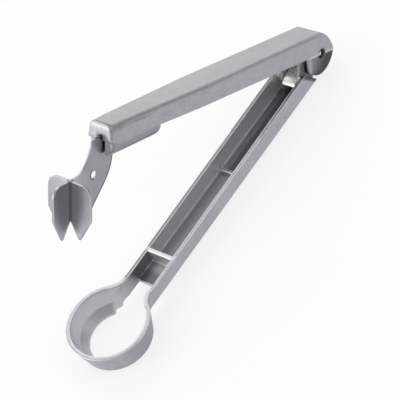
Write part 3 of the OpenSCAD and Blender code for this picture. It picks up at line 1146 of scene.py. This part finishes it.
@dataclass
class UpperLever:
    """Cast upper lever: the hollow handle with the hinge cheeks and the blade's block."""

    inner: float = 6.8
    side: float = 8.4
    hollow_z: Pair = (0.4, 8.6)
    cheek_r: float = 12.8
    cheek_lean: float = 16.0
    crease_x: float = 13.0
    sink_r: float = 3.2
    block_x: float = 153.4
    block_bevel: float = 1.0
    block_rear: float = 100.0
    block_top: float = -0.3
    block_low: float = -4.0
    nose_x: float = 150.0
    # Painted highlights, and a little wear on the edges.
    highlight_and_wear: UpperWearAndHighlights = UpperWearAndHighlights()
    # Painted shade.
    shade_paint: UpperShadePaint = UpperShadePaint()
    finish: CastFinish = CastFinish("cast upper lever", (0.32, 0.323, 0.35), (0.435, 0.438, 0.465))
    skin_form: Softened = Softened("upper_lever", 0.3, 5, (
        Rounding(Body.UPPER, (149.0, 170.0), (-14.0, 30.0), 4.0, 22),
        Rounding(Body.UPPER, (148.5, 170.0), (0.5, 30.0), 3.5, 34)))

    def build(self) -> Piece:
        """Builds and dresses the lever.

        Returns:
            The piece.
        """
        piece, skin, turn = self.skin_form.build("upper_lever_casting")
        p = HINGE.from_packed(skin.points, Body.UPPER)
        n = HINGE.swing(skin.normals, Body.UPPER, -1.0)
        turn = stretch(turn, *self.highlight_and_wear.turn)
        # The block's front gets painted light: a pale cover and a paler, less metallic base.
        front = skin.relax(self.block_front(p, n), 1)
        # Painted highlights along the parting line, on the block's front and on the nose's front, and a
        # little wear on the edges.
        wear_and_highlights = [self.highlight_and_wear.edge * turn, self.crease(p), front, skin.relax(self.nose_front(p, n), 1)]
        # Painted shade along the block's lower edge.
        at_foot = (p[:, 0] > self.block_x - self.block_bevel) & (p[:, 2] < self.block_low)
        low_edge = self.shade_paint.block_edge * turn * at_foot
        # Painted shade along the edges, over the nose, on the cheeks, in the pin's sinks and on the block.
        shade_paint = [self.shade_paint.edge * turn, low_edge, self.nose_line(p, n), skin.relax(self.painted_shade(p), 1)]
        piece.mark(Mark.EDGE, np.max(wear_and_highlights, axis=0))
        # Painted fill light in the hollow under the handle and on the block's front.
        piece.mark(Mark.INSIDE, np.maximum(skin.relax(self.hollow(p, n), 2), front))
        piece.mark(Mark.PAINTED_SHADE, np.max(shade_paint, axis=0))
        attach(piece.thing, Body.UPPER.value)
        piece.dress(self.finish.make(), Slot.UPPER_CASTING, "upper_lever")
        return piece

    def hollow(self, p: Array, n: Array) -> Array:
        """Marks the hollow under the handle, where a paler, less metallic base paints fill light into the
        shade.

        Args:
            p: points in the upper lever's frame.
            n: their normals in the same frame.

        Returns:
            1 for a point that looks into the hollow, and 0 for the outside.
        """
        low, high = self.hollow_z
        bay = (np.abs(p[:, 1]) < self.inner) & (p[:, 2] > low) & (p[:, 2] < high)
        bay &= (n[:, 0] < 0.6) & (n[:, 2] < 0.5) & (n[:, 1] * np.sign(p[:, 1]) < 0.2)
        return bay.astype(float)

    def crease(self, p: Array) -> Array:
        """A painted highlight line where the handle's side steps in to the hinge cheeks.

        Args:
            p: points in the upper lever's frame.

        Returns:
            The strength of the line at each point.
        """
        highlight_and_wear = self.highlight_and_wear
        at_hinge = (p[:, 0] < self.crease_x) & (np.hypot(p[:, 0], p[:, 2]) > self.sink_r)
        at_hinge &= np.abs(p[:, 1]) > self.side
        return highlight_and_wear.crease * line(p[:, 2], highlight_and_wear.crease_z, highlight_and_wear.crease_wide) * at_hinge

    def block_front(self, p: Array, n: Array) -> Array:
        """The block's front, brightened by painted light where it lies in shade.

        Args:
            p: points in the upper lever's frame.
            n: their normals in the same frame.

        Returns:
            The strength at each point, which fades to the block's foot and sides.
        """
        highlight_and_wear = self.highlight_and_wear
        front = stretch(n[:, 0], *highlight_and_wear.block_facing) * (p[:, 0] > self.block_x) * (p[:, 2] < self.block_top)
        across = np.maximum(stretch(np.abs(p[:, 1]), *highlight_and_wear.block_y), highlight_and_wear.block_side)
        return front * stretch(p[:, 2], *highlight_and_wear.block_foot) * across

    def at_nose(self, p: Array) -> Array:
        """Picks the points of the handle's nose, over the block."""
        return (p[:, 0] > self.nose_x) & (p[:, 2] > 0.0)

    def nose_front(self, p: Array, n: Array) -> Array:
        """A painted highlight on the front of the nose, where it turns down."""
        facing = line(n[:, 0], self.highlight_and_wear.nose_facing, self.highlight_and_wear.nose_wide)
        return self.highlight_and_wear.nose * self.at_nose(p) * facing

    def nose_line(self, p: Array, n: Array) -> Array:
        """A painted shade line over the nose, where its top starts to bend down.

        Args:
            p: points in the upper lever's frame.
            n: their normals in the same frame.

        Returns:
            The strength of the line at each point, which grows towards the near side.
        """
        shade_paint = self.shade_paint
        bend = line(n[:, 2], shade_paint.nose_facing, shade_paint.nose_wide) * (n[:, 0] > shade_paint.nose_ahead)
        return self.at_nose(p) * bend * stretch(p[:, 1], *shade_paint.nose_y, *shade_paint.nose)

    def painted_shade(self, p: Array) -> Array:
        """Painted shade on the hinge cheeks, in the pin's sinks and on the block under the handle.

        The cheeks are darker to the rear and low down, and along their front, which leans.

        Args:
            p: points in the upper lever's frame.

        Returns:
            The strength of the painted shade at each point.
        """
        x, _, z = p.T
        shade_paint = self.shade_paint
        reach = np.hypot(x, z)
        lean = math.radians(self.cheek_lean)
        ahead = x * math.cos(lean) - z * math.sin(lean)
        back = stretch(x + shade_paint.back_slope * z, *shade_paint.back_run)
        rim = stretch(reach, *shade_paint.rim_reach)
        flat = shade_paint.cheek_flat * stretch(ahead, *shade_paint.flat_ahead)
        front = shade_paint.cheek_front * stretch(ahead, *shade_paint.front_ahead)
        shade = flat + front + shade_paint.cheek_back * back + shade_paint.cheek_rim * rim * back
        cheek = stretch(z, *shade_paint.cheek_z) * (reach < self.cheek_r) * np.minimum(shade, shade_paint.deepest)
        sink = shade_paint.deepest * stretch(reach, self.sink_r, self.sink_r - shade_paint.sink_fade)
        block = shade_paint.block * stretch(z, *shade_paint.block_z) * (x > self.block_rear)
        return np.max([cheek, sink, block], axis=0)


@dataclass
class HingePins:
    """The hinge pin and the two pins that hold the blade's tang."""

    hinge_d: float = 3.2
    hinge_len: float = 16.4
    tang_d: float = 3.0
    tang_len: float = 13.0
    tang_x: Pair = (134.4, 148.4)
    tang_y: float = -7.0
    tang_z: float = 0.6
    crown: float = 0.45
    crown_steps: int = 9
    round_steps: int = 48
    # Painted shade round each end, inside the sink, and the share of the diameter over which it fades in.
    rim_shade: float = 0.92
    rim_shade_range: Pair = (0.3, 0.42)
    low: Colour = (0.68, 0.68, 0.68)
    high: Colour = (0.84, 0.84, 0.83)

    def pin(self, node: str, d: float, length: float, place: Colour) -> Piece:
        """Makes one pin with crowned ends and painted shade on the rim of each end, turned about the y
        axis.

        A crown's profile is a quarter of an ellipse: radius d/2 sin(a) at height crown (1 - cos(a)).

        Args:
            node: the CAD node that it stands for.
            d: diameter.
            length: length over both crowns.
            place: x, y, z of the pin's low-y end in the upper lever's frame.

        Returns:
            The piece.
        """
        name = node + "_steel"
        a = np.linspace(0.0, np.pi / 2.0, self.crown_steps)
        crown = np.stack([d / 2 * np.sin(a), self.crown * (1.0 - np.cos(a))], axis=1)
        body = np.stack([np.full(2, d / 2), np.linspace(self.crown, length - self.crown, 4)[1:3]], axis=1)
        profile = np.concatenate([crown, body, (crown * [1, -1] + [0, length])[::-1]])
        grid = turned(profile, self.round_steps) + np.array(place)
        piece = surface(name, HINGE.to_packed(grid, Body.UPPER), True, False)
        p = HINGE.from_packed(Skin.of(piece.thing.data).points, Body.UPPER) - np.array(place)
        # Painted shade on the rim of each end, inside its sink.
        inner, outer = self.rim_shade_range
        piece.mark(Mark.RIM_SHADE, self.rim_shade * stretch(np.hypot(p[:, 0], p[:, 2]), inner * d, outer * d))
        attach(piece.thing, Body.UPPER.value)
        piece.dress(BrightFinish("turned steel " + name, self.low, self.high).make(), Slot.PIN, node)
        return piece

    def build(self) -> list[Piece]:
        """Builds the three pins.

        Returns:
            The hinge pin, the front tang pin and the rear tang pin.
        """
        rear, front = self.tang_x
        return [
            self.pin("hinge_pin", self.hinge_d, self.hinge_len, (0.0, -self.hinge_len / 2, 0.0)),
            self.pin("tang_pin_front", self.tang_d, self.tang_len, (front, self.tang_y, self.tang_z)),
            self.pin("tang_pin_rear", self.tang_d, self.tang_len, (rear, self.tang_y, self.tang_z)),
        ]


@dataclass
class ReturnSpring:
    """The strip spring: an arm in each lever and a bend round the pin."""

    thick: float = 0.6
    wide: float = 7.4
    edge_r: float = 0.12
    edge_steps: int = 4
    coil_r: float = 2.4
    low_seat: Pair = (16.5, -3.3)
    up_seat: Pair = (22.0, 7.516)
    lip_len: float = 2.9
    lip_deg: float = -21.0
    tip_len: float = 1.8
    tip_deg: float = -34.0
    end_len: float = 3.0
    end_deg: float = -14.0
    step: float = 0.5
    bend_points: int = 40
    low_points: int = 24
    up_points: int = 30
    lip_points: int = 5
    tip_points: int = 3
    taper: float = 0.93
    blend_deg: float = 110.0
    blend_half: float = 1.6
    finish: BrightFinish = BrightFinish(
        "spring strip", (0.90, 0.89, 0.87), (0.96, 0.95, 0.93), (0.24, 0.30), (1.0, 0.2, 1.0), 0.0005, 0.6)

    @staticmethod
    def ray(angle: float) -> Array:
        """Unit vector at an angle in the side view."""
        return np.array([math.cos(angle), math.sin(angle)])

    def path(self) -> Array:
        """Side view of the strip's middle line, from the lower tip to the upper tip.

        Each arm is the tangent from its seat to the circle round the pin, and both tips
        turn towards the lever's middle.

        Returns:
            Rows of x and z in the lower lever's frame.
        """
        low, up = np.array(self.low_seat), np.array(self.up_seat)
        low_a = math.atan2(low[1], low[0]) + math.asin(self.coil_r / np.linalg.norm(low))
        up_a = math.atan2(up[1], up[0]) - math.asin(self.coil_r / np.linalg.norm(up))
        up_a += math.radians(HINGE.open_deg)
        low_len = math.sqrt(low @ low - self.coil_r ** 2)
        up_len = math.sqrt(up @ up - self.coil_r ** 2)
        arc = np.linspace(1.5 * np.pi + low_a, 0.5 * np.pi + up_a, self.bend_points)
        bend = self.coil_r * np.stack([np.cos(arc), np.sin(arc)], axis=1)
        low_run = bend[0] + np.linspace(low_len, 0.0, self.low_points)[:-1, None] * self.ray(low_a)
        up_run = bend[-1] + np.linspace(0.0, up_len, self.up_points)[1:, None] * self.ray(up_a)
        lip_way, tip_way = self.ray(math.radians(self.lip_deg)), self.ray(math.radians(self.tip_deg))
        end_way = self.ray(up_a + math.radians(self.end_deg))
        lip = low_run[0] + np.linspace(self.lip_len, self.step, self.lip_points)[:, None] * lip_way
        tip = lip[0] + np.linspace(self.tip_len, self.step, self.tip_points)[:, None] * tip_way
        end = up_run[-1] + np.linspace(self.step, self.end_len, self.lip_points)[:, None] * end_way
        return np.concatenate([tip, lip, low_run, bend, up_run, end])

    def section(self) -> Array:
        """Flat strip whose edges are quarter circles.

        Returns:
            Rows of offset along the width and along the thickness.
        """
        a = np.linspace(-np.pi / 2, 0.0, self.edge_steps)
        low = np.stack([self.wide / 2 - self.edge_r * (1.0 - np.cos(a)),
                        -self.thick / 2 + self.edge_r * (1.0 + np.sin(a))], axis=1)
        low = np.concatenate([low[:1] - [self.edge_r, 0.0], low])
        side = np.concatenate([low, low[::-1] * [1.0, -1.0]])
        return np.concatenate([side, -side])

    def build(self) -> Piece:
        """Carries the section along the path and dresses the strip.

        The section's width lies along y and its thickness along the path's left normal.

        Returns:
            The piece.
        """
        path = self.path()
        ahead = np.gradient(path, axis=0)
        ahead /= np.linalg.norm(ahead, axis=1, keepdims=True)
        left = np.stack([-ahead[:, 1], ahead[:, 0]], axis=1)
        cut = self.section()
        narrow = np.ones(len(path))
        narrow[[0, -1]] = self.taper
        x = path[:, None, 0] + left[:, None, 0] * cut[None, :, 1]
        z = path[:, None, 1] + left[:, None, 1] * cut[None, :, 1]
        y = cut[None, :, 0] * narrow[:, None]
        grid = np.stack([x, y, z], axis=-1)
        grid = np.concatenate([closing(grid[:1]), grid, closing(grid[-1:])])
        piece = surface("return_spring_strip", HINGE.to_packed(grid, Body.LOWER), False, True)
        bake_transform(piece.thing)
        piece.dress(self.finish.make(), Slot.SPRING, "return_spring")
        return piece


@dataclass
class Blade:
    """The four-wing blade: two folded sheets and the weld that joins them."""

    spine_x: float = 175.2
    spine_y: float = 0.2
    top_z: float = -12.0
    fold_z: float = -10.0
    glow_z: float = -11.0
    arm_z: float = -6.0
    wing_rear: Pair = (-7.0, -5.0)
    wing_least: float = 0.2
    tip_z: Pair = (-31.0, -27.0)
    tip_least: float = 0.1
    arm_front: float = 4.0
    cut: float = 0.8
    cut_turn: Pair = (0.0, 0.2)
    cut_r: float = 2.5
    # Painted fill light near the spine, where the wings shade each other.
    glow: float = 0.3
    glow_r: float = 7.0
    # Painted shade in the fold.
    fold: float = 0.95
    fold_r: float = 1.5
    # Painted shade along the arm's rear edge.
    rear_edge_shade: float = 0.7
    rear_edge_turn: Pair = (0.0, 0.15)
    rear_edge_passes: int = 14
    rear_edge_range: Pair = (0.02, 0.12)
    bead_r: float = 1.1
    bead_h: float = 0.58
    bead_gap: float = 0.02
    bead_grid: tuple[int, int] = (14, 36)
    bead_power: float = 2.4
    lobe_share: float = 0.05
    lobes: float = 3.0
    lobe_phase: float = 0.7
    ripple_share: float = 0.1
    ripple_rate: float = 7.0
    ripple_sway: float = 0.5
    arm_form: Softened = Softened("blade_arm", 0.24, 2)
    cross_form: Softened = Softened("cross_blade", 0.2, 2)
    bead_finish: BrightFinish = BrightFinish(
        "weld bead", (0.36, 0.34, 0.31), (0.55, 0.54, 0.52), (0.25, 0.45), (1.5, 1.5, 1.5), 0.02)

    def sheet(self, form: Softened, name: str) -> Piece:
        """Makes one folded sheet, with bright cut edges, painted fill light near the spine, painted shade
        in the fold and painted shade along the arm's rear edge.

        Args:
            form: the softened copy of the CAD sheet.
            name: the piece's name.

        Returns:
            The piece.
        """
        piece, skin, turn = form.build(name)
        x, y, z = HINGE.from_packed(skin.points, Body.UPPER).T
        n = HINGE.swing(skin.normals, Body.UPPER, -1.0)
        r = np.hypot(x - self.spine_x, y - self.spine_y)
        wings = np.maximum(stretch(x - self.spine_x, *self.wing_rear), self.wing_least)
        tips = np.maximum(stretch(z, *self.tip_z), self.tip_least)
        away = 1.0 - np.exp(-(r / self.cut_r) ** 4)
        cut = self.cut * stretch(turn, *self.cut_turn) * wings * tips * away
        # Painted fill light near the spine.
        glow = self.glow * line(r, 0.0, self.glow_r) * (z < self.glow_z)
        # Painted shade in the fold.
        fold = self.fold * np.exp(-(r / self.fold_r) ** 4) * (z < self.fold_z)
        # Painted shade along the arm's rear edge.
        behind = (x < self.spine_x - self.arm_front) & (n[:, 0] < -0.15) & (z < self.arm_z)
        edge = skin.relax(stretch(turn, *self.rear_edge_turn) * behind, self.rear_edge_passes)
        piece.mark(Mark.EDGE, np.maximum(cut, glow))
        piece.mark(Mark.SPINE, np.maximum(fold, self.rear_edge_shade * stretch(edge, *self.rear_edge_range)))
        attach(piece.thing, Body.UPPER.value)
        piece.dress(SheetFinish("rolled sheet " + name).make(), Slot.BLADE, form.node)
        return piece

    def bead(self) -> Piece:
        """Makes the weld bead: a low dome whose height ripples with the radius and the turn.

        With t from 0 in the middle to 1 at the foot, the height falls as 1 - t to a power, times
        a ripple, and the radius grows as t, times shallow lobes.

        Returns:
            The piece.
        """
        rows, columns = self.bead_grid
        t = np.linspace(0.0, 1.0, rows)[:, None]
        a = np.linspace(0.0, 2.0 * np.pi, columns, endpoint=False)[None]
        foot_z = self.top_z + self.bead_gap
        ripple = np.cos(self.ripple_rate * t + self.ripple_sway * t * np.sin(a))
        r = self.bead_r * t * (1.0 + self.lobe_share * np.sin(self.lobes * a + self.lobe_phase))
        z = self.bead_h * (1.0 - t ** self.bead_power) * (1.0 + self.ripple_share * (ripple - 1.0))
        dome = np.stack([self.spine_x + r * np.cos(a), self.spine_y + r * np.sin(a), foot_z + z], axis=-1)
        foot = dome[-1:].copy()
        foot[..., 2] = foot_z
        shell = np.concatenate([dome, foot, closing(foot)])
        piece = surface("spine_weld_bead", HINGE.to_packed(shell, Body.UPPER), False, True)
        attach(piece.thing, Body.UPPER.value)
        piece.dress(self.bead_finish.make(), Slot.WELD, "spine_weld")
        return piece

    def build(self) -> list[Piece]:
        """Builds both sheets and the bead.

        Returns:
            The arm's sheet, the cross sheet and the bead.
        """
        arm = self.sheet(self.arm_form, "blade_arm_sheet")
        cross = self.sheet(self.cross_form, "cross_blade_sheet")
        return [arm, cross, self.bead()]


@dataclass(frozen=True)
class Lamp:
    """A soft square lamp that looks at the tool's middle; its sizes are metres."""

    name: str
    toward: Colour
    distance: float
    side: float
    watts: float
    tone: Colour = WHITE

    def place(self, aim: Vector) -> None:
        """Adds the lamp.

        Args:
            aim: the point that it looks at.
        """
        data = bpy.data.lights.new(self.name, "AREA")
        data.size = self.side
        data.energy = self.watts
        data.color = self.tone
        lamp = bpy.data.objects.new(self.name, data)
        away = Vector(self.toward).normalized()
        lamp.location = aim + away * self.distance
        lamp.rotation_mode = "QUATERNION"
        lamp.rotation_quaternion = (-away).to_track_quat("-Z", "Y")
        bpy.context.scene.collection.objects.link(lamp)


@dataclass
class Studio:
    """Pale floor, white surroundings, soft lamps and the photograph's viewpoint.

    Places and lengths are metres here, and the lens and the sensor are millimetres.
    """

    eye: Colour = (0.25034, 0.32725, 0.46936)
    turn: tuple[float, float, float, float] = (0.480517, 0.035124, 0.354051, 0.801572)
    lens: float = 117.0
    sensor: float = 36.0
    clip: Pair = (0.01, 50.0)
    floor_side: float = 12.0
    floor_z: float = -0.0002
    floor_tone: float = 0.93
    floor_rough: float = 0.9
    floor_glow: float = 0.78
    fill: float = 0.6
    dim: float = 0.35
    dim_near: Pair = (-0.1, 0.45)
    dim_up: Pair = (0.5, 0.9)
    warm: Colour = (1.0, 0.975, 0.925)
    warm_rear: Pair = (-0.75, -0.45)
    lamps: tuple[Lamp, ...] = (
        Lamp("far softbox", (-0.42, -0.56, 0.78), 0.95, 0.8, 2.6, (1.0, 0.985, 0.95)),
        Lamp("hinge side softbox", (-0.85, -0.5, 0.14), 0.95, 0.4, 0.22, (1.0, 0.94, 0.84)),
        Lamp("ring side softbox", (0.72, -0.55, 0.48), 0.9, 0.7, 2.6, (1.0, 0.985, 0.95)),
        Lamp("near side softbox", (-0.35, 0.6, 0.72), 0.9, 0.6, 1.6, (0.94, 0.95, 1.0)),
    )

    def build(self) -> None:
        """Sets the colour handling and adds floor, world, lamps and camera."""
        bpy.context.scene.view_settings.view_transform = "Standard"
        self.floor()
        self.world()
        aim = (CAD_BOX[0] + CAD_BOX[1]) / 2
        for lamp in self.lamps:
            lamp.place(aim)
        self.camera()

    def floor(self) -> None:
        """Adds the floor, which is clear from below so that the underside can be seen."""
        half = self.floor_side / 2
        corners = np.array([[-half, -half], [half, -half], [half, half], [-half, half]])
        mesh = bpy.data.meshes.new("floor")
        mesh.from_pydata(np.c_[corners, np.full(4, self.floor_z)].tolist(), [], [[0, 1, 2, 3]])
        plane = bpy.data.objects.new("floor", mesh)
        bpy.context.scene.collection.objects.link(plane)
        s = Shader("pale floor")
        s.set(Base_Color=(self.floor_tone,) * 3 + (1.0,), Roughness=self.floor_rough)
        white = s.add("ShaderNodeEmission").outputs["Emission"]
        looked_at = s.seen(Ray.CAMERA, Ray.GLOSSY, Ray.TRANSMISSION)
        glow = s.spread(looked_at, 0.0, 1.0, 0.0, self.floor_glow)
        lit = s.between(glow, s.surface.outputs["BSDF"], white)
        clear = s.add("ShaderNodeBsdfTransparent").outputs["BSDF"]
        below = s.add("ShaderNodeNewGeometry").outputs["Backfacing"]
        s.join(s.between(below, lit, clear), s.out.inputs["Surface"])
        mesh.materials.append(s.material)

    def world(self) -> None:
        """Makes the surroundings white, and even and less bright where they light the tool.

        In reflections the near side and the ceiling are dimmer, and the hinge end is warm.
        """
        world = bpy.data.worlds.new("white room")
        bpy.context.scene.world = world
        t = Tree(world)
        way = t.add("ShaderNodeSeparateXYZ")
        t.join(t.add("ShaderNodeTexCoord").outputs["Generated"], way.inputs["Vector"])
        near = t.spread(way.outputs["Y"], *self.dim_near, 1.0, self.dim)
        ceiling = t.spread(way.outputs["Z"], *self.dim_up, 1.0, self.dim)
        hinge_end = t.spread(way.outputs["X"], *self.warm_rear, 1.0, 0.0)
        room, light, white = [t.add("ShaderNodeBackground") for _ in range(3)]
        for shade in (light, white):
            shade.inputs["Color"].default_value = (*WHITE, 1.0)
        light.inputs["Strength"].default_value = self.fill
        t.join(t.ramp(hinge_end, WHITE, self.warm), room.inputs["Color"])
        t.join(t.combine(Joining.SMALLER, near, ceiling), room.inputs["Strength"])
        mirrored = t.between(t.seen(Ray.GLOSSY), light.outputs["Background"], room.outputs["Background"])
        shown = t.between(t.seen(Ray.CAMERA, Ray.TRANSMISSION), mirrored, white.outputs["Background"])
        t.join(shown, t.add("ShaderNodeOutputWorld").inputs["Surface"])

    def camera(self) -> None:
        """Adds the camera at the photograph's viewpoint."""
        data = bpy.data.cameras.new("photo view")
        data.lens, data.sensor_width = self.lens, self.sensor
        data.clip_start, data.clip_end = self.clip
        eye = bpy.data.objects.new("photo view", data)
        eye.location = self.eye
        eye.rotation_mode = "QUATERNION"
        eye.rotation_quaternion = Quaternion(self.turn)
        bpy.context.scene.collection.objects.link(eye)
        bpy.context.scene.camera = eye


def main() -> None:
    """Builds the tool's pieces and the studio."""
    logging.basicConfig(level=logging.INFO)
    LowerLever().build()
    UpperLever().build()
    HingePins().build()
    ReturnSpring().build()
    Blade().build()
    Studio().build()
    bpy.context.view_layer.update()


if __name__ == "__main__":
    main()
